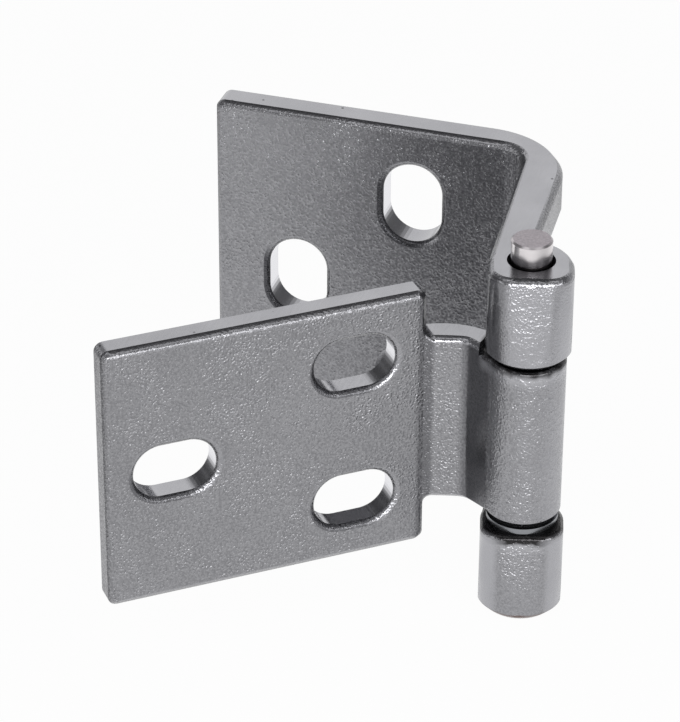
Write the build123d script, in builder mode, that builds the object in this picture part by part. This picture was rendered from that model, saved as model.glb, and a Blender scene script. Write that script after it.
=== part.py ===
"""Truck door hinge: a pillar leaf and a door leaf on one upright pin.

The origin is on the pillar leaf's mounting face, midway between its paired bolt slots.
X runs along that leaf towards the pin, Y points out of the mounting face and Z runs up the pin.
The door leaf stands part of the way open.
"""

import os
from math import cos, radians, sin, sqrt, tan

from build123d import *

os.makedirs("parts", exist_ok=True)

# Barrel: three knuckles in line on the pin.
barrel_h = 85.0
knuckle_d = 18.0
knuckle_h = 22.0
knuckle_corner_r = 5.6
knuckle_turn = 15.0
knuckle_foot = 0.3
knuckle_fade_h = 16.0
door_knuckle_d = 16.5
upper_gap = 0.3
flange_gap = 0.5

# Pin, and the bushes that it turns in.
pin_d = 8.73
pin_proud = 5.1
pin_recess = 1.0
pin_chamfer = 0.4
running_clearance = 0.05
press_clearance = 0.01
bush_wall = 0.7
bush_recess = 4.0
flange_d = 15.6
flange_t = 1.2

# Pillar leaf: a bent strap whose open end is two arms.
pillar_t = 7.6
pin_standoff = 56.5
pillar_reach = 86.8
pillar_corner_r = 2.2
arm_lean = 6.0
arm_outer_lean = 4.3
arm_root_t = 8.4
bend_r = 6.3
bend_outer_r = 20.0
arm_edge_h = 8.8
arm_draft = 16.0
window_wall = 4.0
window_r = 8.0
window_clearance = 0.6

# Upright bolt slots in the pillar leaf: the pair is set from the pin, the single slot from the free edge.
pillar_slot_w = 13.7
pillar_slot_l = 19.3
pillar_pair_from_pin = 40.3
pillar_pair_spacing = 47.2
pillar_single_from_edge = 19.5

# Door leaf: a plate on a gooseneck.
door_t = 6.5
door_face_from_pin = 11.5
door_reach = 90.2
door_root = 18.1
door_h = 62.5
door_corner_r = 2.0
neck_rise = 1.4
neck_r = 10.5
neck_root_r = 2.0
facing_clearance = 0.5
door_angle = 39.5

# Level bolt slots in the door leaf, set in the same way.
door_slot_w = 12.4
door_slot_l = 18.4
door_pair_from_pin = 34.3
door_pair_spacing = 33.7
door_single_from_edge = 15.5

# Edge breaks.
edge_bevel = 1.25
slot_bevel = 1.0

# Levels up the barrel, from the middle of its height.
barrel_top = barrel_h / 2
knuckle_inner = barrel_top - knuckle_h
door_knuckle_h = 2 * knuckle_inner - upper_gap - flange_t - flange_gap
door_knuckle_top = knuckle_inner - upper_gap
door_knuckle_bottom = door_knuckle_top - door_knuckle_h
neck_h = door_knuckle_h + neck_rise
door_mid = door_knuckle_bottom + neck_h / 2
window_top = door_mid + neck_h / 2 + window_clearance

# Seats shared by the pin, the bushes and the knuckles.
pin_r = pin_d / 2
bush_bore_r = pin_r + running_clearance
bush_outer_r = bush_bore_r + bush_wall
knuckle_r = knuckle_d / 2
knuckle_foot_r = knuckle_r + knuckle_foot
knuckle_corner_reach = knuckle_corner_r + (knuckle_r - knuckle_corner_r) * sqrt(2)
door_knuckle_r = door_knuckle_d / 2

# The pin stands here in the row frame, and the door leaf is turned about it.
pin_plane = Plane((pillar_pair_from_pin, -pin_standoff, 0))
door_plane = pin_plane.rotated((0, 0, door_angle))

# Pillar leaf in plan: the arms' inner side is tangent to the knuckle and leans out to the bend.
# The outer side leans less, so the arms thicken from the knuckles to the bend.
pillar_front = pin_standoff - pillar_t
lean = radians(arm_lean)
outer_lean = radians(arm_outer_lean)
arm_inner_root = (-knuckle_r * cos(lean), -knuckle_r * sin(lean))
arm_outer_root = ((arm_root_t - knuckle_r) * cos(outer_lean), (arm_root_t - knuckle_r) * sin(outer_lean))
inner_corner_x = arm_inner_root[0] - (pillar_front - arm_inner_root[1]) * tan(lean)
outer_corner_x = arm_outer_root[0] - (pin_standoff - arm_outer_root[1]) * tan(outer_lean)

# Door leaf in plan: a front arc runs from the plate's face and meets the knuckle at a tangent.
door_back = door_face_from_pin + door_t
neck_cy = door_face_from_pin - neck_r
centres = door_knuckle_r + neck_r
neck_cx = -sqrt(centres**2 - neck_cy**2)
to_pin = (-neck_cx / centres, -neck_cy / centres)
neck_back_r = neck_r + door_t
neck_front_end = (neck_cx + neck_r * to_pin[0], neck_cy + neck_r * to_pin[1])

# The back arc runs into the knuckle's side where the two circles cross.
cross_along = (door_knuckle_r**2 - neck_back_r**2 + centres**2) / (2 * centres)
cross_side = sqrt(door_knuckle_r**2 - cross_along**2)
neck_back_end = (
    -to_pin[0] * cross_along - to_pin[1] * cross_side,
    -to_pin[1] * cross_along + to_pin[0] * cross_side,
)

# A pillar knuckle is round behind and squared in front, and its front corners fade out downwards.
with BuildSketch() as knuckle_plan:
    with BuildLine(Plane.XY.rotated((0, 0, knuckle_turn))):
        CenterArc((0, 0), knuckle_r, 0, 180)
        Polyline((-knuckle_r, 0), (-knuckle_r, -knuckle_r), (knuckle_r, -knuckle_r), (knuckle_r, 0))
    make_face()
    front_corners = knuckle_plan.vertices().filter_by(lambda v: v.Y**2 + v.X**2 > 1.5 * knuckle_r**2)
    fillet(front_corners, knuckle_corner_r)

fade_slope = (knuckle_corner_reach - knuckle_foot_r) / knuckle_fade_h
foot_level = edge_bevel + knuckle_foot
with BuildPart() as knuckle:
    add(knuckle_plan.sketch)
    extrude(amount=knuckle_h)
    chamfer(knuckle.faces().sort_by(Axis.Z)[-1].edges(), edge_bevel)
    with BuildSketch(Plane.XZ):
        with BuildLine():
            Polyline(
                (0, 0),
                (knuckle_r - edge_bevel, 0),
                (knuckle_foot_r, foot_level),
                (knuckle_foot_r + fade_slope * (knuckle_h - foot_level), knuckle_h),
                (0, knuckle_h),
                close=True,
            )
        make_face()
    revolve(axis=Axis.Z, mode=Mode.INTERSECT)

# The strap is one band from its free edge round the bend to the barrel.
with BuildPart() as pillar_leaf:
    with BuildSketch(pin_plane) as strap_plan:
        with BuildLine():
            Polyline(
                (-pillar_reach, pin_standoff),
                (outer_corner_x, pin_standoff),
                arm_outer_root,
                arm_inner_root,
                (inner_corner_x, pillar_front),
                (-pillar_reach, pillar_front),
                close=True,
            )
        make_face()
        fillet(strap_plan.vertices().sort_by_distance((inner_corner_x, pillar_front))[0], bend_r)
        fillet(strap_plan.vertices().sort_by_distance((outer_corner_x, pin_standoff))[0], bend_outer_r)
    extrude(amount=barrel_top, both=True)

    # The arms' outer sides lean in below a square top edge, above and below the middle.
    draft_top = barrel_top - arm_edge_h
    draft_in = (knuckle_h - arm_edge_h) * tan(radians(arm_draft))
    arm_section = Plane(
        pin_plane.from_local_coords((*arm_outer_root, 0)),
        x_dir=(cos(outer_lean), sin(outer_lean), 0),
        z_dir=(-sin(outer_lean), cos(outer_lean), 0),
    )
    with BuildSketch(arm_section):
        with BuildLine():
            Polyline(
                (0, draft_top),
                (-draft_in, knuckle_inner),
                (-draft_in, -knuckle_inner),
                (0, -draft_top),
                (pillar_reach, -draft_top),
                (pillar_reach, draft_top),
                close=True,
            )
        make_face()
    extrude(amount=pin_standoff, mode=Mode.SUBTRACT)

    # The window parts the two arms and leaves a wall behind it at the bend.
    with BuildSketch(Plane.YZ):
        with Locations((-pillar_t - window_wall, 0)):
            RectangleRounded(2 * pin_standoff, 2 * window_top, window_r, align=(Align.MAX, Align.CENTER))
    extrude(amount=2 * pillar_reach, both=True, mode=Mode.SUBTRACT)

    # Rounded free corners, then one bevel round the whole outline.
    fillet(pillar_leaf.edges().filter_by(Axis.Y).group_by(Axis.X)[0], pillar_corner_r)
    end_faces = pillar_leaf.faces().filter_by(Axis.Z).group_by(Axis.Z)
    outline = (end_faces[0] + end_faces[-1]).edges().filter_by(Axis.Y, reverse=True)
    free_edges = pillar_leaf.edges().filter_by(Axis.Z).group_by(Axis.X)[0]
    corner_arcs = pillar_leaf.faces().filter_by(GeomType.CYLINDER).group_by(Axis.X)[0].edges()
    chamfer(outline + free_edges + corner_arcs.filter_by(GeomType.CIRCLE), edge_bevel)

    with Locations(pin_plane):
        with Locations((0, 0, knuckle_inner)):
            add(knuckle.part)
        with Locations((0, 0, -barrel_top)):
            add(knuckle.part)
        Cylinder(bush_outer_r + press_clearance, 2 * barrel_h, mode=Mode.SUBTRACT)

    # Two upright slots above one another and a third beside them at half height.
    single_x = pillar_pair_from_pin - pillar_reach + pillar_single_from_edge
    with BuildSketch(Plane.XZ):
        with Locations((0, pillar_pair_spacing / 2), (0, -pillar_pair_spacing / 2), (single_x, 0)):
            SlotOverall(pillar_slot_l, pillar_slot_w, rotation=90)
    extrude(amount=pillar_t, mode=Mode.SUBTRACT)
    plate_faces = pillar_leaf.faces().filter_by(Axis.Y).sort_by(Axis.Y)
    slot_rims = [w.edges() for f in plate_faces for w in f.inner_wires()]
    chamfer([e for rim in slot_rims for e in rim], slot_bevel)

pillar_leaf.part.label = "pillar_leaf"
export_step(pillar_leaf.part, "parts/pillar_leaf.step")

# The door leaf is cut from a gooseneck band to a plate with a narrower neck.
with BuildPart() as door_blank:
    with BuildSketch() as door_plan:
        with BuildLine():
            Line((-door_reach, door_face_from_pin), (neck_cx, door_face_from_pin))
            RadiusArc((neck_cx, door_face_from_pin), neck_front_end, neck_r)
            ThreePointArc(neck_front_end, (door_knuckle_r, 0), neck_back_end)
            RadiusArc(neck_back_end, (neck_cx, door_back), -neck_back_r)
            Line((neck_cx, door_back), (-door_reach, door_back))
            Line((-door_reach, door_back), (-door_reach, door_face_from_pin))
        make_face()
        fillet(door_plan.vertices().sort_by_distance(neck_back_end)[0], neck_root_r)
    extrude(amount=barrel_h, both=True)
    with BuildSketch(Plane.XZ) as door_outline:
        with Locations((-(door_reach + door_root) / 2, door_mid)):
            Rectangle(door_reach - door_root, door_h)
        with Locations((-door_root, door_mid)):
            Rectangle(door_root + door_knuckle_d, neck_h, align=(Align.MIN, Align.CENTER))
        fillet(door_outline.vertices().filter_by(lambda v: v.X < -door_root / 2), door_corner_r)
    extrude(amount=2 * door_reach, both=True, mode=Mode.INTERSECT)
    rim_faces = door_blank.faces().filter_by(lambda f: abs(f.normal_at().Y) < 0.001)
    rim_faces = rim_faces.filter_by(lambda f: abs(f.normal_at().Z) > 0.9 or f.center().X < -door_root / 2)
    chamfer(rim_faces.edges().filter_by(Axis.Y, reverse=True), edge_bevel)

    # The knuckle's top is faced off below the neck, wide enough to clear the knuckle above it.
    facing_r = knuckle_foot_r + facing_clearance
    with Locations((0, 0, door_knuckle_top)):
        Cylinder(facing_r, neck_h, align=(Align.CENTER, Align.CENTER, Align.MIN), mode=Mode.SUBTRACT)
    faced_rim = door_blank.edges().filter_by(GeomType.CIRCLE).filter_by(
        lambda e: abs(e.radius - door_knuckle_r) < 0.001 and abs(e.center().Z - door_knuckle_top) < 0.001
    )
    chamfer(faced_rim, edge_bevel)
    Cylinder(pin_r + press_clearance, 2 * barrel_h, mode=Mode.SUBTRACT)

    # Two level slots one above the other at the neck end and a third between them at the free end.
    pair_z = door_pair_spacing / 2
    with BuildSketch(Plane.XZ.offset(-door_back)):
        with Locations(
            (-door_pair_from_pin, door_mid + pair_z),
            (-door_pair_from_pin, door_mid - pair_z),
            (door_single_from_edge - door_reach, door_mid),
        ):
            SlotOverall(door_slot_l, door_slot_w)
    extrude(amount=door_t, mode=Mode.SUBTRACT)
    slot_rims = [w.edges() for f in door_blank.faces().filter_by(Axis.Y) for w in f.inner_wires()]
    chamfer([e for rim in slot_rims for e in rim], slot_bevel)

# The finished blank is turned about the pin to the angle at which the leaf stands.
with BuildPart(door_plane) as door_leaf:
    add(door_blank.part)

door_leaf.part.label = "door_leaf"
export_step(door_leaf.part, "parts/door_leaf.step")

# The pin is pressed into the door knuckle, stands proud on top and stops short of the bottom face.
with BuildPart(pin_plane) as hinge_pin:
    pin_top = barrel_top + pin_proud
    pin_bottom = pin_recess - barrel_top
    with Locations((0, 0, pin_bottom)):
        Cylinder(pin_r, pin_top - pin_bottom, align=(Align.CENTER, Align.CENTER, Align.MIN))
    chamfer(hinge_pin.edges().filter_by(GeomType.CIRCLE), pin_chamfer)

hinge_pin.part.label = "hinge_pin"
export_step(hinge_pin.part, "parts/hinge_pin.step")

# The upper bush is a plain sleeve that stops below the top of its knuckle.
with BuildPart(pin_plane) as upper_bush:
    with Locations((0, 0, knuckle_inner)):
        Cylinder(bush_outer_r, knuckle_h - bush_recess, align=(Align.CENTER, Align.CENTER, Align.MIN))
    Cylinder(bush_bore_r, 2 * barrel_h, mode=Mode.SUBTRACT)

upper_bush.part.label = "upper_bush"
export_step(upper_bush.part, "parts/upper_bush.step")

# The lower bush has a flange that lies on its knuckle and takes the door's weight.
with BuildPart(pin_plane) as lower_bush:
    with Locations((0, 0, -knuckle_inner)):
        Cylinder(bush_outer_r, knuckle_h - bush_recess, align=(Align.CENTER, Align.CENTER, Align.MAX))
        Cylinder(flange_d / 2, flange_t, align=(Align.CENTER, Align.CENTER, Align.MIN))
    Cylinder(bush_bore_r, 2 * barrel_h, mode=Mode.SUBTRACT)

lower_bush.part.label = "lower_bush"
export_step(lower_bush.part, "parts/lower_bush.step")
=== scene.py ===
"""Truck door hinge dressed as it was photographed: bright coated cast leaves on a ground steel pin."""

import math

import bmesh
import bpy
import numpy as np
from mathutils import Matrix, Vector


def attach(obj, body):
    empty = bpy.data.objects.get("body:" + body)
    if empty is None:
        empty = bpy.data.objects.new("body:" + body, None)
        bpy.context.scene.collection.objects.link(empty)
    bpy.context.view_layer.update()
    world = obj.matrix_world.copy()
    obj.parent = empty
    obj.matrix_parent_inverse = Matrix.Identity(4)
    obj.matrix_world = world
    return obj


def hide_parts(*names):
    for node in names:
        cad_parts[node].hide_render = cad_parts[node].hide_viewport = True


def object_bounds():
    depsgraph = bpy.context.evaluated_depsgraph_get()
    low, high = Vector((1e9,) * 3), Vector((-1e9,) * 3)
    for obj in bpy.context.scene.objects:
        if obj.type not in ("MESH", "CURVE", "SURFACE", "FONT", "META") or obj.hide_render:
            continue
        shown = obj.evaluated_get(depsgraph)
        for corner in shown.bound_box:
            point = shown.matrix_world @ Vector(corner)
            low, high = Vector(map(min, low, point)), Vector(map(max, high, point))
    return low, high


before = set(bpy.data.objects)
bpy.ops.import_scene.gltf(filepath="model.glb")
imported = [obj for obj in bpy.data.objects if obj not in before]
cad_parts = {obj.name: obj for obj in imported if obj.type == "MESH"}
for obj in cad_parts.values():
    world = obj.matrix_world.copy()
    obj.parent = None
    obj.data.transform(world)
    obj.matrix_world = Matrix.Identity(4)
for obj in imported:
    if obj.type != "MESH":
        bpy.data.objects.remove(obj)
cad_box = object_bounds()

# Pillar leaf: a cast steel strap, bent and split into two arms that end in knuckles.
# Its broad sides keep the leathery skin of the casting under a thin bright coat.
# Rims and slot walls were cut afterwards, so they are smooth, and bolts hold it to the door pillar.
PIN_X, PIN_Y = 0.0403, -0.0565
CAD_LIP, LIP = 0.001, 0.0013
WALL_NEAR, LIP_NEAR, BEVEL_NEAR = 0.0001, 0.00006, 0.00002
BEVEL_STEP = 0.0004
WIDEST_BEVEL = 0.0023
FOLD = math.radians(23)
PILLAR_SLOTS = ((0.0, 0.0236), (0.0, -0.0236), (-0.027, 0.0))
PILLAR_SLOT_RUN, PILLAR_SLOT_R = np.array((0.0, 0.0028)), 0.00685
PILLAR_RIM = 0.04125
PLATE_INSIDE = -0.009
KNUCKLE_REACH, KNUCKLE_TURN = 0.0125, math.radians(15)
FLANK_FROM, FLANK_TO, FACET_LEFT = 0.0042, 0.0064, -0.006


def dressed_copy(name, cad_node):
    """The solid's own surface with its loose triangles merged, so that its edges can be rounded."""
    mesh = cad_node.data.copy()
    mesh.name = name
    work = bmesh.new()
    work.from_mesh(mesh)
    bmesh.ops.remove_doubles(work, verts=work.verts, dist=1e-6)
    bmesh.ops.dissolve_degenerate(work, edges=work.edges, dist=1e-7)
    work.to_mesh(mesh)
    work.free()
    mesh.materials.clear()
    obj = bpy.data.objects.new(name, mesh)
    bpy.context.scene.collection.objects.link(obj)
    mesh.polygons.foreach_set("use_smooth", np.ones(len(mesh.polygons), bool))
    return obj


def vertex_places(mesh):
    """Every vertex's place, one row each."""
    places = np.empty(3 * len(mesh.vertices))
    mesh.vertices.foreach_get("co", places)
    return places.reshape(-1, 3)


def set_places(mesh, places):
    """Moves every vertex to its row."""
    mesh.vertices.foreach_set("co", places.ravel())
    mesh.update()


def along_and_up(places, way):
    """Each place's distance from the pin's axis along a plate, and its height, in rows of two."""
    return np.stack(((places - (PIN_X, PIN_Y, 0)) @ way, places[:, 2]), axis=1)


def off_core(flat, middle, run):
    """How each row lies off a slot's core, the line between its two end centres: d - clip(d, -run, run)."""
    away = flat - middle
    return away - np.clip(away, -run, run)


def widen_lips(mesh, way, slots, run, radius):
    """Draws the border of each slot's bevel out in its plane, from CAD_LIP to LIP beyond the slot's wall.

    A border point moves straight away from the slot's core.
    """
    places = vertex_places(mesh)
    for middle in slots:
        away = off_core(along_and_up(places, way), middle, run)
        reach = np.hypot(*away.T)
        border = np.abs(reach - radius - CAD_LIP) < LIP_NEAR
        push = np.where(border, (radius + LIP) / np.maximum(reach, 1e-6) - 1, 0.0)[:, None] * away
        places += push[:, :1] * way + push[:, 1:] * np.array((0.0, 0.0, 1.0))
    set_places(mesh, places)


def widen_bevels(mesh, middle, half):
    """Moves the broad-side borders of the rim bevels, at middle + half and middle - half, a step inwards."""
    places = vertex_places(mesh)
    for way in (1, -1):
        border = np.abs(places[:, 2] - (middle + way * half)) < BEVEL_NEAR
        places[border, 2] -= way * BEVEL_STEP
    set_places(mesh, places)


def corner_table(mesh):
    """For every face corner, in three arrays of rows: its place, its face's centre and its face's normal."""
    corners, faces = len(mesh.loops), len(mesh.polygons)
    of_vert, sides = np.empty(corners, np.int32), np.empty(faces, np.int32)
    centres, normals = np.empty(3 * faces), np.empty(3 * faces)
    mesh.loops.foreach_get("vertex_index", of_vert)
    mesh.polygons.foreach_get("loop_total", sides)
    mesh.polygons.foreach_get("center", centres)
    mesh.polygons.foreach_get("normal", normals)
    of_face = np.repeat(np.arange(faces), sides)
    return vertex_places(mesh)[of_vert], centres.reshape(-1, 3)[of_face], normals.reshape(-1, 3)[of_face]


def fade(value, start, end):
    """0 up to start and 1 from end on, with a smooth step 3 t^2 - 2 t^3 between them."""
    t = np.clip((value - start) / (end - start), 0, 1)
    return t * t * (3 - 2 * t)


def cut_by_slope(steep):
    """How far a face was cut smooth, by how level it is: 0 on the upright skin, 0.4 on bevels and 1 on rims."""
    # On level tops the paler colour that a cut face gets is partly painted light.
    level, bevel = fade(steep, 0.6, 0.85), fade(steep, 0.3, 0.6)
    return level + 0.4 * (bevel - level)


def set_finish(mesh, **values):
    """Keeps a value per face corner under each name, for the material to read."""
    for name, value in values.items():
        attribute = mesh.attributes.new(name, "FLOAT", "CORNER")
        attribute.data.foreach_set("value", value.astype(np.float32))


def soften_edges(mesh):
    """Shades each bevel strip as a round: its border corners take the normals of the broad faces beside it.

    Faces that turn by less than FOLD make one patch, and a patch is a bevel if area / half its rim is under
    WIDEST_BEVEL.
    """
    work = bmesh.new()
    work.from_mesh(mesh)
    work.faces.ensure_lookup_table()
    patch = np.full(len(work.faces), -1)
    bevels = []
    for seed in work.faces:
        if patch[seed.index] >= 0:
            continue
        label = len(bevels)
        patch[seed.index] = label
        front, area, rim = [seed], 0.0, 0.0
        while front:
            face = front.pop()
            area += face.calc_area()
            for edge in face.edges:
                other = edge.link_faces[0] if edge.link_faces[1] is face else edge.link_faces[1]
                if edge.calc_face_angle() > FOLD:
                    rim += edge.calc_length()
                elif patch[other.index] < 0:
                    patch[other.index] = label
                    front.append(other)
        bevels.append(rim > 0 and area / (rim / 2) < WIDEST_BEVEL)
    shading = []
    for face in work.faces:
        for corner in face.loops:
            sums = {}
            for near in corner.vert.link_loops:
                label = patch[near.face.index]
                sums[label] = sums.get(label, Vector()) + near.face.normal * near.calc_angle()
            mine = patch[face.index]
            normal = sums[mine].normalized()
            if bevels[mine]:
                broad = [v.normalized() for k, v in sums.items() if not bevels[k]]
                broad = [v for v in broad if v.dot(face.normal) > 0.5]
                if broad:
                    normal = sum(broad, Vector()).normalized()
            shading.append(normal)
    work.free()
    mesh.normals_split_custom_set(shading)


def linear(hex_colour):
    """sRGB hex to linear RGBA: c / 12.92 up to 0.04045, and ((c + 0.055) / 1.055) ** 2.4 above it."""
    c = np.array([int(hex_colour[i:i + 2], 16) for i in (1, 3, 5)]) / 255
    c = np.where(c <= 0.04045, c / 12.92, ((c + 0.055) / 1.055) ** 2.4)
    return (*c.tolist(), 1.0)


def put(tree, kind, feeds=(), **settings):
    """Adds one node: feeds pairs a socket with the output or constant that feeds it, settings go by name."""
    node = tree.nodes.new(kind)
    for key, value in settings.items():
        if key in node.inputs:
            node.inputs[key].default_value = value
        elif hasattr(node, key):
            setattr(node, key, value)
        else:
            node.inputs[key.replace("_", " ")].default_value = value
    for socket, source in feeds:
        if isinstance(source, bpy.types.NodeSocket):
            tree.links.new(source, node.inputs[socket])
        else:
            node.inputs[socket].default_value = source
    return node


def coated_steel(name, gap_shade_from, gap_shade_to):
    """Bright zinc on cast steel: a fine leathery skin breaks reflections into glints, and cut faces are smooth.

    Four values per face corner, in the order read below, say where: the skin's relief; how far a face was cut,
    from 0 on skin over 1 on cut faces to 2 on polished slot walls, which also paints knuckle faces and the
    plate's inner side paler as painted highlight; painted shade that grows towards the bend; and painted shade on
    slot lips and walls. Painted shade darkens the knuckle between two heights, in metres, that face the gap.
    """
    material = bpy.data.materials.new(name)
    material.use_nodes = True
    tree = material.node_tree
    shader = tree.nodes["Principled BSDF"]
    place = put(tree, "ShaderNodeTexCoord").outputs["Object"]
    axes = put(tree, "ShaderNodeSeparateXYZ", [("Vector", place)])
    grain, cut, shade, soil = (
        put(tree, "ShaderNodeAttribute", attribute_name=value).outputs["Fac"]
        for value in ("grain", "cut", "shade", "soil")
    )

    # Skin: cells of 0.46 mm with grit of 0.26 mm, drawn a little coarser than real ones so that they show.
    # Low spots are darker, and the tone drifts slowly over 24 mm.
    cells = put(tree, "ShaderNodeTexNoise", [("Vector", place)], Scale=1 / 0.00046, Detail=0.0)
    grit = put(tree, "ShaderNodeTexNoise", [("Vector", place)], Scale=1 / 0.00026, Detail=0.0)
    relief = put(
        tree, "ShaderNodeMath", [(0, grit.outputs["Fac"]), (1, 0.3), (2, cells.outputs["Fac"])],
        operation="MULTIPLY_ADD",
    )
    drift = put(tree, "ShaderNodeTexNoise", [("Vector", place)], Scale=1 / 0.024, Detail=1.0)
    tinted = put(
        tree, "ShaderNodeMath", [(0, drift.outputs["Fac"]), (1, 0.3), (2, relief.outputs[0])],
        operation="MULTIPLY_ADD",
    )
    height = put(tree, "ShaderNodeMapRange", [("Value", tinted.outputs[0])], From_Min=0.6, From_Max=1.0)
    pitted = put(
        tree, "ShaderNodeMix",
        [("Factor", height.outputs[0]), (6, linear("#818184")), (7, linear("#97979A"))], data_type="RGBA",
    )

    # Cut faces: paler bare metal that swells in tone over 10 mm, and slot walls rubbed bright.
    # This paler colour is partly painted light on level tops, and painted highlight where knuckle faces and the
    # plate's inner side are given it.
    swell = put(tree, "ShaderNodeTexNoise", [("Vector", place)], Scale=1 / 0.01, Detail=3.0)
    bare = put(
        tree, "ShaderNodeMix",
        [("Factor", swell.outputs["Fac"]), (6, linear("#A2A2A6")), (7, linear("#B8B8BC"))], data_type="RGBA",
    )
    coat = put(
        tree, "ShaderNodeMix", [("Factor", cut), (6, pitted.outputs[2]), (7, bare.outputs[2])], data_type="RGBA"
    )
    polish = put(tree, "ShaderNodeMapRange", [("Value", cut)], From_Min=1.0, From_Max=2.0)
    walls = put(
        tree, "ShaderNodeMix", [("Factor", polish.outputs[0]), (6, coat.outputs[2]), (7, linear("#E4E4E8"))],
        data_type="RGBA",
    )

    # Painted shade: it is deeper in the low spots of rough skin and grows towards the bend, and more painted
    # shade lies on slot lips and in the corners of slot walls.
    inward = put(
        tree, "ShaderNodeMapRange", [("Value", axes.outputs["X"])], interpolation_type="SMOOTHSTEP",
        From_Min=-0.036, From_Max=0.014,
    )
    low_spot_weight = put(tree, "ShaderNodeMapRange", [("Value", height.outputs[0])], To_Min=1.25, To_Max=0.75)
    skin_weight = put(tree, "ShaderNodeMix", [("Factor", grain), (2, 1.0), (3, low_spot_weight.outputs[0])])
    weighted_shade = put(tree, "ShaderNodeMath", [(0, shade), (1, skin_weight.outputs[0])], operation="MULTIPLY")
    shade_to_bend = put(
        tree, "ShaderNodeMath", [(0, weighted_shade.outputs[0]), (1, inward.outputs[0])], operation="MULTIPLY"
    )
    painted_shade = put(tree, "ShaderNodeMath", [(0, shade_to_bend.outputs[0]), (1, soil)], operation="MAXIMUM")
    shaded = put(
        tree, "ShaderNodeMix", [("Factor", painted_shade.outputs[0]), (6, walls.outputs[2]), (7, linear("#3C3C40"))],
        data_type="RGBA",
    )

    # Pits: casting pores up to 0.9 mm across, one in 5.5 mm each way, which only the cut faces lay open.
    # The pores are only painted, as dark spots of painted shade.
    pits = put(tree, "ShaderNodeTexVoronoi", [("Vector", place)], Scale=1 / 0.0055)
    sunk = put(
        tree, "ShaderNodeMapRange", [("Value", pits.outputs["Distance"])], From_Min=0.04, From_Max=0.08,
        To_Min=1.0, To_Max=0.0,
    )
    level = put(tree, "ShaderNodeMath", [(0, cut), (1, 1.0), (2, 0.05)], operation="COMPARE")
    holes = put(tree, "ShaderNodeMath", [(0, sunk.outputs[0]), (1, level.outputs[0])], operation="MULTIPLY")
    spotted = put(
        tree, "ShaderNodeMix", [("Factor", holes.outputs[0]), (6, shaded.outputs[2]), (7, linear("#4A4A4E"))],
        data_type="RGBA",
    )

    # Round the pin: a paler strip of painted highlight below the gap, a ragged band of painted shade at the gap,
    # and a line of rust at the foot.
    out_x = put(tree, "ShaderNodeMath", [(0, axes.outputs["X"]), (1, PIN_X)], operation="SUBTRACT")
    out_y = put(tree, "ShaderNodeMath", [(0, axes.outputs["Y"]), (1, PIN_Y)], operation="SUBTRACT")
    flat = put(tree, "ShaderNodeCombineXYZ", [("X", out_x.outputs[0]), ("Y", out_y.outputs[0])])
    reach = put(tree, "ShaderNodeVectorMath", [(0, flat.outputs[0])], operation="LENGTH")
    round_pin = put(
        tree, "ShaderNodeMapRange", [("Value", reach.outputs["Value"])], From_Min=0.0095, From_Max=0.0105,
        To_Min=1.0, To_Max=0.0,
    )
    below = put(
        tree, "ShaderNodeMath", [(0, axes.outputs["Z"]), (1, gap_shade_to + 0.0012)], operation="LESS_THAN"
    )
    highlight_rise = put(
        tree, "ShaderNodeMapRange", [("Value", axes.outputs["Z"])], From_Min=gap_shade_from - 0.003,
        From_Max=gap_shade_from,
    )
    shine = put(tree, "ShaderNodeMath", [(0, highlight_rise.outputs[0]), (1, below.outputs[0])], operation="MULTIPLY")
    glint = put(
        tree, "ShaderNodeMath", [(0, shine.outputs[0]), (1, round_pin.outputs[0])], operation="MULTIPLY"
    )
    bright = put(
        tree, "ShaderNodeMix", [("Factor", glint.outputs[0]), (6, spotted.outputs[2]), (7, linear("#B6B6BA"))],
        data_type="RGBA",
    )
    waves = put(
        tree, "ShaderNodeMapping", [("Vector", place)], Scale=(1 / 0.0024, 1 / 0.0024, 1 / 0.0013)
    )
    lumps = put(tree, "ShaderNodeTexNoise", [("Vector", waves.outputs[0])], Scale=1.0, Detail=1.0)
    ragged = put(
        tree, "ShaderNodeMath", [(0, lumps.outputs["Fac"]), (1, 0.0018), (2, axes.outputs["Z"])],
        operation="MULTIPLY_ADD",
    )
    rising = put(
        tree, "ShaderNodeMapRange", [("Value", ragged.outputs[0])], From_Min=gap_shade_from, From_Max=gap_shade_to
    )
    band = put(tree, "ShaderNodeMath", [(0, rising.outputs[0]), (1, below.outputs[0])], operation="MULTIPLY")
    gap_shade = put(tree, "ShaderNodeMath", [(0, band.outputs[0]), (1, round_pin.outputs[0])], operation="MULTIPLY")
    tone = put(
        tree, "ShaderNodeMix", [("Factor", gap_shade.outputs[0]), (6, bright.outputs[2]), (7, linear("#343334"))],
        data_type="RGBA",
    )
    foot = put(
        tree, "ShaderNodeMapRange", [("Value", axes.outputs["Z"])], From_Min=-0.0414, From_Max=-0.0407,
        To_Min=0.9, To_Max=0.0,
    )
    rusty = put(tree, "ShaderNodeMath", [(0, foot.outputs[0]), (1, round_pin.outputs[0])], operation="MULTIPLY")
    finish = put(
        tree, "ShaderNodeMix", [("Factor", rusty.outputs[0]), (6, tone.outputs[2]), (7, linear("#5E443A"))],
        data_type="RGBA",
    )

    # Relief: the skin stands out unevenly in patches, and the knuckles are lumpy as well, in flat waves.
    cover = put(
        tree, "ShaderNodeMapRange", [("Value", swell.outputs["Fac"])], From_Min=0.35, From_Max=0.65, To_Min=0.5
    )
    patchy = put(tree, "ShaderNodeMath", [(0, grain), (1, cover.outputs[0])], operation="MULTIPLY")
    lumpy = put(tree, "ShaderNodeMath", [(0, grain), (1, round_pin.outputs[0])], operation="MULTIPLY")
    uneven = put(
        tree, "ShaderNodeBump", [("Height", lumps.outputs["Fac"]), ("Strength", lumpy.outputs[0])],
        Distance=0.0002,
    )
    bumped = put(
        tree, "ShaderNodeBump",
        [("Height", relief.outputs[0]), ("Strength", patchy.outputs[0]), ("Normal", uneven.outputs["Normal"])],
        Distance=0.00021,
    )

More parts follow.
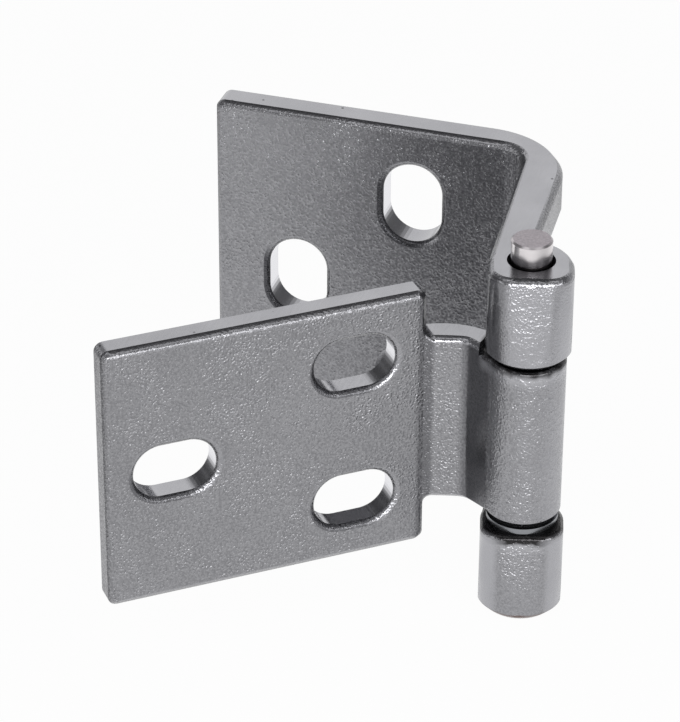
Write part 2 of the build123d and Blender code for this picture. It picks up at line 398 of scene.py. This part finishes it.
    # Gloss: skin is duller in its low spots, and the cutter dragged fine lines over the cut faces.
    drag = put(tree, "ShaderNodeMapping", [("Vector", place)], Scale=(1 / 0.0004, 1 / 0.004, 1 / 0.0008))
    lines = put(tree, "ShaderNodeTexNoise", [("Vector", drag.outputs[0])], Scale=1.0, Detail=2.0)
    worn = put(tree, "ShaderNodeMapRange", [("Value", lines.outputs["Fac"])], To_Min=0.11, To_Max=0.29)
    rough = put(
        tree, "ShaderNodeMapRange", [("Value", relief.outputs[0])], From_Min=0.45, From_Max=0.85,
        To_Min=0.4, To_Max=0.27,
    )
    sheen = put(tree, "ShaderNodeMix", [("Factor", grain), (2, worn.outputs[0]), (3, rough.outputs[0])])
    gloss = put(tree, "ShaderNodeMix", [("Factor", polish.outputs[0]), (2, sheen.outputs[0]), (3, 0.18)])
    shader.inputs["Metallic"].default_value = 1.0
    tree.links.new(finish.outputs[2], shader.inputs["Base Color"])
    tree.links.new(gloss.outputs[0], shader.inputs["Roughness"])
    tree.links.new(bumped.outputs["Normal"], shader.inputs["Normal"])
    return material


pillar = dressed_copy("pillar_leaf_cast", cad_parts["pillar_leaf"])
pillar_way = np.array((1.0, 0.0, 0.0))
slots = np.array(PILLAR_SLOTS) - (PIN_X, 0.0)
widen_lips(pillar.data, pillar_way, slots, PILLAR_SLOT_RUN, PILLAR_SLOT_R)
widen_bevels(pillar.data, 0.0, PILLAR_RIM)

# Slot walls are polished, with the bottom walls painted darker as painted shade.
# Painted shade lies on the left and lower lips and in the lower left corner of the walls.
places, centres, normals = corner_table(pillar.data)
steep = np.abs(normals[:, 2])
on_plate = centres[:, 1] > PLATE_INSIDE
cut, soil = cut_by_slope(steep), np.zeros(len(steep))
flat = along_and_up(centres, pillar_way)
for middle in slots:
    reach = np.hypot(*off_core(flat, middle, PILLAR_SLOT_RUN).T)
    inside = on_plate & (reach < PILLAR_SLOT_R + LIP)
    wall = on_plate & (reach < PILLAR_SLOT_R + WALL_NEAR)
    cut = np.where(inside, np.where(wall, 2 - 0.9 * fade(normals[:, 2], 0.1, 0.6), 0.3), cut)
    soil = np.where(inside & ~wall, 0.8 * fade(normals[:, 0] + normals[:, 2], 0.0, 0.5), soil)
    soil = np.where(wall, 0.8 * fade(np.minimum(normals[:, 0], normals[:, 2]), 0.1, 0.5), soil)
grain = 1 - np.minimum(cut, 1)

# The knuckles' flanks were ground smooth. The flanks, except the upper one on the left, and the front facets are
# painted paler as painted highlight, and the upper left flank is darkened with painted shade instead.
# The inner side of the plate is painted paler, with painted shade that grows towards the bend.
out = places[:, :2] - (PIN_X, PIN_Y)
aside = out @ (math.cos(KNUCKLE_TURN), math.sin(KNUCKLE_TURN))
on_knuckle = (np.hypot(*out.T) < KNUCKLE_REACH) & (steep < 0.6)
upper, left = places[:, 2] > 0, aside < 0
flank = fade(np.abs(aside), FLANK_FROM, FLANK_TO) * on_knuckle
facet = on_knuckle * (1 - flank)
grain = np.minimum(grain, 1 - np.where(left, 0.9, 0.65) * flank)
cut = np.maximum(cut, flank * np.where(left & upper, 0.1, 0.85))
cut = np.maximum(cut, facet * np.where(upper, 0.75 * (aside > FACET_LEFT), 0.25))
inner_side = (normals[:, 1] < -0.5) & on_plate & (steep < 0.3)
cut = np.maximum(cut, 0.3 * inner_side * (cut < 0.1))
shade = np.maximum(0.6 * inner_side, 0.3 * flank * (left & upper))
set_finish(pillar.data, grain=grain, cut=cut, shade=shade, soil=soil)
soften_edges(pillar.data)
pillar_steel = coated_steel("bright_coated_cast_steel", gap_shade_from=-0.0221, gap_shade_to=-0.0212)
pillar.data.materials.append(pillar_steel)
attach(pillar, "pillar")
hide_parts("pillar_leaf")

# Bushes: turned steel sleeves pressed into the outer knuckles, the lower one with a thrust flange.
# The tool left rings round the axis, which show as lighter and duller bands.
# The rings are drawn 1.9 mm apart, coarser than real ones, so that they show.
turned = bpy.data.materials.new("turned_bush_steel")
turned.use_nodes = True
tree = turned.node_tree
shader = tree.nodes["Principled BSDF"]
place = put(tree, "ShaderNodeTexCoord").outputs["Object"]
centred = put(tree, "ShaderNodeMapping", [("Vector", place)], Location=(-PIN_X, -PIN_Y, 0.0))
rings = put(
    tree, "ShaderNodeTexWave", [("Vector", centred.outputs[0])], wave_type="RINGS", rings_direction="Z",
    Scale=1 / 0.006, Distortion=0.4,
)
tone = put(
    tree, "ShaderNodeMix",
    [("Factor", rings.outputs["Fac"]), (6, linear("#888A8E")), (7, linear("#9EA0A4"))], data_type="RGBA",
)
gloss = put(tree, "ShaderNodeMapRange", [("Value", rings.outputs["Fac"])], To_Min=0.28, To_Max=0.42)
shader.inputs["Metallic"].default_value = 1.0
tree.links.new(tone.outputs[2], shader.inputs["Base Color"])
tree.links.new(gloss.outputs[0], shader.inputs["Roughness"])
for bush in ("upper_bush", "lower_bush"):
    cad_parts[bush].material_slots[0].material = turned

# Door leaf: a cast plate on a gooseneck that runs into the middle knuckle, with the same skin and coat.
# The hollow of the gooseneck was ground smooth where it turns towards the knuckle.
# It turns on the pin, and bolts through its level slots hold the door.
DOOR_TURN = math.radians(39.5)
DOOR_MID, DOOR_RIM = 0.0014, 0.03
DOOR_SLOTS = ((-0.0343, 0.01685), (-0.0343, -0.01685), (-0.0747, 0.0))
DOOR_SLOT_RUN, DOOR_SLOT_R = np.array((0.003, 0.0)), 0.0062
NECK_X, NECK_Y, NECK_R, NECK_LIP = -0.0187233, 0.001, 0.0105, 0.0014
NECK_START, NECK_CREASE, NECK_END = 90.0, 41.0, -3.05
CREASE_SOFT = 0.035
STRIP_AT = -0.0185
DOOR_KNUCKLE_REACH = 0.0084
plate_way = np.array((math.cos(DOOR_TURN), math.sin(DOOR_TURN), 0.0))
plate_front = np.array((math.sin(DOOR_TURN), -math.cos(DOOR_TURN), 0.0))


def round_neck(places):
    """Each place as seen from the axis of the neck's hollow: how far, at which angle in degrees, and how far
    along and across the plate."""
    out_x, out_y = (places[:, :2] - (PIN_X, PIN_Y)).T
    along = out_x * plate_way[0] + out_y * plate_way[1] - NECK_X
    across = out_y * plate_way[0] - out_x * plate_way[1] - NECK_Y
    return np.hypot(along, across), np.degrees(np.arctan2(across, along)), along, across


def crease_neck(mesh):
    """Flattens the hollow of the neck to two planes that meet in a crease.

    At an angle a round the hollow's axis, a plane lies at cos(h) / cos(a - m) of the radius, where m and h are
    its middle and half its angle. The nearer plane counts, and -k log(sum of exp(-r / k)) rounds the crease.
    """
    places = vertex_places(mesh)
    reach, turn, along, across = round_neck(places)
    hollow = (reach > NECK_R - WALL_NEAR) & (reach < NECK_R + NECK_LIP)
    hollow &= (turn > NECK_END - 0.05) & (turn < NECK_START + 0.01)
    planes = []
    for start, end in ((NECK_CREASE, NECK_START), (NECK_END, NECK_CREASE)):
        middle, half = math.radians((start + end) / 2), math.radians((end - start) / 2)
        planes.append(math.cos(half) / np.maximum(np.cos(np.radians(turn) - middle), 0.2))
    nearest = -CREASE_SOFT * np.log(sum(np.exp(-plane / CREASE_SOFT) for plane in planes))
    scaled = reach + NECK_R * (nearest - 1)
    grow = np.where(hollow, scaled / np.maximum(reach, 1e-6), 1.0)
    along, across = along * grow + NECK_X, across * grow + NECK_Y
    places[:, 0] = PIN_X + along * plate_way[0] - across * plate_way[1]
    places[:, 1] = PIN_Y + along * plate_way[1] + across * plate_way[0]
    set_places(mesh, places)


door = dressed_copy("door_leaf_cast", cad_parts["door_leaf"])
crease_neck(door.data)
slots = np.array(DOOR_SLOTS) + (0.0, DOOR_MID)
widen_lips(door.data, plate_way, slots, DOOR_SLOT_RUN, DOOR_SLOT_R)
widen_bevels(door.data, DOOR_MID, DOOR_RIM)

# Its slot walls are polished, with the bottom walls painted darker as painted shade. Painted shade lies on the
# lips that are lower or further from the pin, and in the lower corner of the walls nearer to the pin.
places, centres, normals = corner_table(door.data)
steep = np.abs(normals[:, 2])
cut, soil = cut_by_slope(steep), np.zeros(len(steep))
flat, sideways = along_and_up(centres, plate_way), normals @ plate_way
for middle in slots:
    reach = np.hypot(*off_core(flat, middle, DOOR_SLOT_RUN).T)
    inside, wall = reach < DOOR_SLOT_R + LIP, reach < DOOR_SLOT_R + WALL_NEAR
    cut = np.where(inside, np.where(wall, 2 - 0.9 * fade(normals[:, 2], 0.1, 0.6), 0.3), cut)
    soil = np.where(inside & ~wall, 0.6 * fade(sideways + normals[:, 2], 0.2, 0.7), soil)
    soil = np.where(wall, 0.7 * fade(np.minimum(-sideways, normals[:, 2]), 0.1, 0.5), soil)
grain = 1 - np.minimum(cut, 1)

# Past the crease the hollow is smooth and darkened with painted shade. The knuckle's skin wears smoother towards
# its far side, and the knuckle is painted paler as painted highlight, most on its far side.
reach, turn, _, _ = round_neck(places)
in_hollow = (reach < NECK_R + WALL_NEAR) & (turn > NECK_END + 0.05) & (turn < NECK_START) & (steep < 0.4)
past_crease = 1 - fade(turn, NECK_CREASE - 3, NECK_CREASE + 7)
grain = np.where(in_hollow, np.minimum(grain, 1 - 0.9 * past_crease), grain)
shade = 0.5 * in_hollow * past_crease
facing = np.degrees(np.arctan2(normals[:, 0], -normals[:, 1]))
out = places[:, :2] - (PIN_X, PIN_Y)
on_knuckle = (np.hypot(*out.T) < DOOR_KNUCKLE_REACH) & (steep < 0.4)
cut = np.maximum(cut, on_knuckle * (0.25 + 0.35 * fade(facing, 30, 60)))
grain = np.minimum(grain, 1 - 0.3 * on_knuckle * fade(facing, 35, 65))
set_finish(door.data, grain=grain, cut=cut, shade=shade, soil=soil)
soften_edges(door.data)

# Its coat is the pillar leaf's, and darker in a strip on the front where the plate ends and the neck begins.
door_steel = coated_steel("bright_coated_door_steel", gap_shade_from=0.0187, gap_shade_to=0.0205)
tree = door_steel.node_tree
shader = tree.nodes["Principled BSDF"]
coords = put(tree, "ShaderNodeTexCoord")
strip_along = float(plate_way @ (PIN_X, PIN_Y, 0.0)) + STRIP_AT
along = put(
    tree, "ShaderNodeVectorMath", [(0, coords.outputs["Object"]), (1, plate_way)], operation="DOT_PRODUCT"
)
off = put(tree, "ShaderNodeMath", [(0, along.outputs["Value"]), (1, strip_along)], operation="SUBTRACT")
beside = put(tree, "ShaderNodeMath", [(0, off.outputs[0])], operation="ABSOLUTE")
strip = put(
    tree, "ShaderNodeMapRange", [("Value", beside.outputs[0])], interpolation_type="SMOOTHSTEP",
    From_Min=0.0009, From_Max=0.0021, To_Min=0.5, To_Max=0.0,
)
facing = put(
    tree, "ShaderNodeVectorMath", [(0, coords.outputs["Normal"]), (1, plate_front)], operation="DOT_PRODUCT"
)
in_front = put(tree, "ShaderNodeMapRange", [("Value", facing.outputs["Value"])], From_Min=0.5, From_Max=0.8)
dark = put(tree, "ShaderNodeMath", [(0, strip.outputs[0]), (1, in_front.outputs[0])], operation="MULTIPLY")
under = shader.inputs["Base Color"].links[0].from_socket
toned = put(
    tree, "ShaderNodeMix", [("Factor", dark.outputs[0]), (6, under), (7, linear("#3A3A3E"))], data_type="RGBA"
)
tree.links.new(toned.outputs[2], shader.inputs["Base Color"])
door.data.materials.append(door_steel)
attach(door, "door")
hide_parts("door_leaf")

# Hinge pin: ground bright steel, pressed into the middle knuckle.
# Its side is polished with faint grinding rings, and its sawn ends are dull and slightly reddish.
# Its foot, where it leaves the upper knuckle, is darkened with painted shade.
ground = bpy.data.materials.new("ground_pin_steel")
ground.use_nodes = True
tree = ground.node_tree
shader = tree.nodes["Principled BSDF"]
coords = put(tree, "ShaderNodeTexCoord")
up = put(tree, "ShaderNodeSeparateXYZ", [("Vector", coords.outputs["Normal"])])
level = put(tree, "ShaderNodeMath", [(0, up.outputs["Z"])], operation="ABSOLUTE")
end = put(tree, "ShaderNodeMapRange", [("Value", level.outputs[0])], From_Min=0.5, From_Max=0.95)
speck = put(
    tree, "ShaderNodeTexNoise", [("Vector", coords.outputs["Object"])], Scale=1 / 0.0005, Detail=2.0
)
dull = put(
    tree, "ShaderNodeMix",
    [("Factor", speck.outputs["Fac"]), (6, linear("#928B90")), (7, linear("#CCC5CA"))], data_type="RGBA",
)
tone = put(
    tree, "ShaderNodeMix", [("Factor", end.outputs[0]), (6, linear("#E0DCDD")), (7, dull.outputs[2])],
    data_type="RGBA",
)
axes = put(tree, "ShaderNodeSeparateXYZ", [("Vector", coords.outputs["Object"])])
foot = put(
    tree, "ShaderNodeMapRange", [("Value", axes.outputs["Z"])], From_Min=0.0428, From_Max=0.045,
    To_Min=0.7, To_Max=0.0,
)
foot_shade = put(
    tree, "ShaderNodeMix", [("Factor", foot.outputs[0]), (6, tone.outputs[2]), (7, linear("#3A3638"))],
    data_type="RGBA",
)
rings = put(
    tree, "ShaderNodeMapping", [("Vector", coords.outputs["Object"])], Scale=(60.0, 60.0, 1 / 0.00025)
)
marks = put(tree, "ShaderNodeTexNoise", [("Vector", rings.outputs[0])], Scale=1.0, Detail=2.0)
sheen = put(tree, "ShaderNodeMapRange", [("Value", marks.outputs["Fac"])], To_Min=0.16, To_Max=0.28)
gloss = put(
    tree, "ShaderNodeMath", [(0, end.outputs[0]), (1, 0.15), (2, sheen.outputs[0])], operation="MULTIPLY_ADD"
)
shader.inputs["Metallic"].default_value = 1.0
tree.links.new(foot_shade.outputs[2], shader.inputs["Base Color"])
tree.links.new(gloss.outputs[0], shader.inputs["Roughness"])
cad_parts["hinge_pin"].material_slots[0].material = ground

# Studio: a white paper sweep that lies under the hinge and rises behind it in one bend.
# Matt paper looks white to the eye, and keeps the hinge's shadow.
# In the metal's reflections the paper glows, a painted pool of light round the hinge and on the wall behind,
# and dimmer beyond.
SWEEP_OUT, SWEEP_FLAT, SWEEP_BEND, SWEEP_TOP = 3.0, 0.5, 0.3, 0.9
floor_z = cad_box[0][2]
bend = np.linspace(0, math.pi / 2, 13)
run = np.concatenate(([-SWEEP_OUT], SWEEP_FLAT + SWEEP_BEND * np.sin(bend), [SWEEP_FLAT + SWEEP_BEND]))
rise = floor_z + np.concatenate(([0.0], SWEEP_BEND * (1 - np.cos(bend)), [SWEEP_TOP]))
rows = np.array([[(x, y, z) for x in (-SWEEP_OUT, SWEEP_OUT)] for y, z in zip(run, rise)]).reshape(-1, 3)
quads = [(2 * i, 2 * i + 1, 2 * i + 3, 2 * i + 2) for i in range(len(run) - 1)]
floor_mesh = bpy.data.meshes.new("white_sweep")
floor_mesh.from_pydata(rows.tolist(), [], quads)
floor_mesh.polygons.foreach_set("use_smooth", np.ones(len(quads), bool))
floor = bpy.data.objects.new("white_sweep", floor_mesh)
bpy.context.scene.collection.objects.link(floor)
paper = bpy.data.materials.new("white_paper")
paper.use_nodes = True
tree = paper.node_tree
tree.nodes.remove(tree.nodes["Principled BSDF"])
seen = put(tree, "ShaderNodeLightPath")
straight = put(
    tree, "ShaderNodeMath", [(0, seen.outputs["Is Camera Ray"]), (1, seen.outputs["Is Transmission Ray"])],
    operation="MAXIMUM",
)
place = put(tree, "ShaderNodeTexCoord").outputs["Object"]
axes = put(tree, "ShaderNodeSeparateXYZ", [("Vector", place)])
oval = put(tree, "ShaderNodeVectorMath", [(0, place), (1, (1.25, 0.75, 1.0))], operation="MULTIPLY")
away = put(tree, "ShaderNodeVectorMath", [(0, oval.outputs["Vector"])], operation="LENGTH")
# Painted light for reflections: bright in a pool round the hinge, dim away from it.
painted_pool = put(
    tree, "ShaderNodeMapRange", [("Value", away.outputs["Value"])], interpolation_type="SMOOTHSTEP",
    From_Min=0.18, From_Max=0.32, To_Min=1.0, To_Max=0.2,
)
behind = put(tree, "ShaderNodeMapRange", [("Value", axes.outputs["Y"])], From_Min=0.25, From_Max=0.45)
leftward = put(
    tree, "ShaderNodeMapRange", [("Value", axes.outputs["X"])], From_Min=0.1, From_Max=0.4,
    To_Min=1.0, To_Max=0.15,
)
wall = put(tree, "ShaderNodeMath", [(0, behind.outputs[0]), (1, leftward.outputs[0])], operation="MULTIPLY")
reflected_glow = put(tree, "ShaderNodeMath", [(0, painted_pool.outputs[0]), (1, wall.outputs[0])], operation="MAXIMUM")
mirrored = put(
    tree, "ShaderNodeMath", [(0, seen.outputs["Is Glossy Ray"]), (1, reflected_glow.outputs[0])], operation="MULTIPLY"
)
shown = put(tree, "ShaderNodeMath", [(0, mirrored.outputs[0]), (1, straight.outputs[0])], operation="MAXIMUM")
share = put(tree, "ShaderNodeMath", [(0, shown.outputs[0]), (1, 0.97)], operation="MULTIPLY")
matt = put(tree, "ShaderNodeBsdfDiffuse", Color=linear("#E8E8E8"))
white = put(tree, "ShaderNodeEmission", Color=(1, 1, 1, 1), Strength=1.0)
paper_mix = put(
    tree, "ShaderNodeMixShader", [(0, share.outputs[0]), (1, matt.outputs[0]), (2, white.outputs[0])]
)
tree.links.new(paper_mix.outputs[0], tree.nodes["Material Output"].inputs["Surface"])
floor_mesh.materials.append(paper)

# Light: a dim even room, a wide softbox in front, weaker ones to its right and left, and three panels above.
# The softboxes make the glints on the skin, and the panels show in the bevels and tops.
world = bpy.data.worlds.new("studio")
bpy.context.scene.world = world
world.use_nodes = True
room = world.node_tree.nodes["Background"]
room.inputs["Color"].default_value = (0.5, 0.5, 0.515, 1)
room.inputs["Strength"].default_value = 0.36
LAMP_AWAY, LAMP_AIM = 0.9, Vector((0.0, -0.05, 0.0))


def softbox(name, turn, tilt, width, height, watts):
    """An area lamp LAMP_AWAY metres off that faces the hinge from an azimuth and an elevation in degrees."""
    lamp = bpy.data.lights.new(name, "AREA")
    lamp.shape = "RECTANGLE"
    lamp.size = width
    lamp.size_y = height
    lamp.energy = watts
    obj = bpy.data.objects.new(name, lamp)
    bpy.context.scene.collection.objects.link(obj)
    a, e = math.radians(turn), math.radians(tilt)
    towards = Vector((math.sin(a) * math.cos(e), -math.cos(a) * math.cos(e), math.sin(e)))
    facing = (-towards).to_track_quat("-Z", "Y").to_matrix().to_4x4()
    obj.matrix_world = Matrix.Translation(LAMP_AIM + LAMP_AWAY * towards) @ facing


softbox("front_softbox", 22, 11, 0.7, 0.34, 4.8)
softbox("right_softbox", 66, 11, 0.4, 0.34, 1.3)
softbox("left_softbox", -44, 11, 0.4, 0.34, 0.6)
softbox("right_panel", 71, 57, 0.45, 0.6, 0.6)
softbox("left_panel", -27, 59, 0.45, 0.6, 0.6)
softbox("top_panel", 0, 76, 0.7, 0.4, 0.35)

# Camera: a long lens, placed and turned as it was fitted to the photograph's edges.
# Its rows are the directions to its right, up and back in the hinge's own frame.
lens = bpy.data.cameras.new("photo_camera")
lens.sensor_width = 36.0
lens.lens = 173.32
lens.clip_end = 20.0
camera = bpy.data.objects.new("photo_camera", lens)
bpy.context.scene.collection.objects.link(camera)
right = Vector((0.95261, 0.304156, 0.00491))
up = Vector((-0.160066, 0.487467, 0.858344))
back = Vector((0.258677, -0.818453, 0.513051))
turn = Matrix((right, up, back)).transposed().to_4x4()
camera.matrix_world = Matrix.Translation((0.192034, -0.667757, 0.393578)) @ turn
bpy.context.scene.camera = camera
bpy.context.scene.view_settings.view_transform = "Standard"
